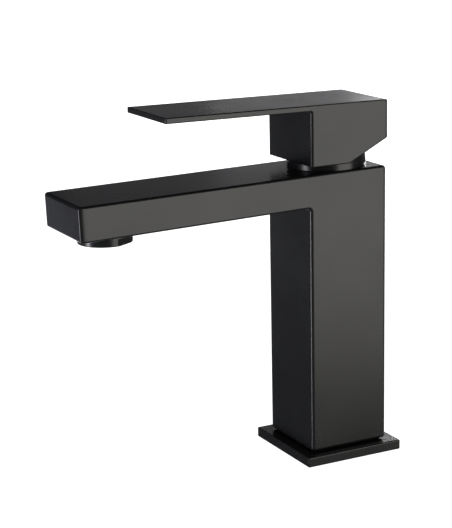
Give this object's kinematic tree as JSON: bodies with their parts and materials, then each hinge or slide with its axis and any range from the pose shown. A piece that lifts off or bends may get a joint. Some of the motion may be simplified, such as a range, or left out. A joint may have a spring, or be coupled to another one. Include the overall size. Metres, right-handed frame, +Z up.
{
  "type": "basin mixer faucet",
  "caption": "Square single-lever basin mixer: column on a square base plate, flat straight spout with a round aerator, cover ring, and a block handle with a flat lever plate.",
  "frame": {"origin": "on the deck, on the column's axis, at the centre of the underside of the brass foot", "axes": "+Z up from the deck, -Y along the spout towards its outlet, X across the column, with +X on the right of someone looking at the mixer's outlet end from the front"},
  "size_m": [0.053, 0.1662, 0.1784],
  "materials": {
    "matte_black_coat": "fine satin-matte black coating over cast metal",
    "bare_brass": "machined",
    "stainless_steel": "ground",
    "black_rubber": "moulded",
    "pale_acetal": "moulded",
    "dark_acetal": "moulded",
    "red_acetal": "moulded",
    "alumina_ceramic": "lapped ceramic",
    "grey_nylon": "moulded"
  },
  "bodies": {
    "mixer_body": {"body": "matte_black_coat", "inlet_foot": "bare_brass", "hot_inlet_bush": "stainless_steel", "cold_inlet_bush": "stainless_steel", "stud_bush": "stainless_steel", "hot_foot_seal": "black_rubber", "cold_foot_seal": "black_rubber", "base_plate": "matte_black_coat", "base_gasket": "black_rubber", "cover_ring": "matte_black_coat", "cover_ring_seal": "black_rubber", "cartridge_nut": "bare_brass", "cartridge_housing": "pale_acetal", "cartridge_base": "dark_acetal", "hot_port_seal": "black_rubber", "cold_port_seal": "black_rubber", "mixed_port_seal": "black_rubber", "fixed_ceramic_disc": "alumina_ceramic", "limit_ring": "red_acetal", "aerator_sleeve": "matte_black_coat", "aerator_screen": "grey_nylon", "aerator_insert": "grey_nylon", "aerator_flow_disc": "grey_nylon", "aerator_gasket": "black_rubber"},
    "turret": {"spindle_guide": "dark_acetal", "spindle_pin": "stainless_steel"},
    "lever": {"handle": "matte_black_coat", "spindle": "bare_brass", "spindle_bush": "grey_nylon", "handle_screw": "stainless_steel", "index_plug": "matte_black_coat"},
    "disc_slide": {"disc_carrier": "dark_acetal", "moving_ceramic_disc": "alumina_ceramic"}
  },
  "joints": [
    {"name": "swivel", "type": "hinge", "parent": "mixer_body", "child": "turret", "pos_m": [0, 0, 0.147], "axis": [0, 0, 1], "range_deg": [-50, 50]},
    {"name": "lift", "type": "hinge", "parent": "turret", "child": "lever", "pos_m": [0, 0, 0.147], "axis": [-1, 0, 0], "range_deg": [0, 25]},
    {"name": "disc_travel", "type": "slide", "parent": "turret", "child": "disc_slide", "axis": [0, -1, 0], "range_m": [0, 0.0079]}
  ],
  "couplings": [
    {"joint": "disc_travel", "follows": "lift", "m_per_rad": 0.01792}
  ]
}
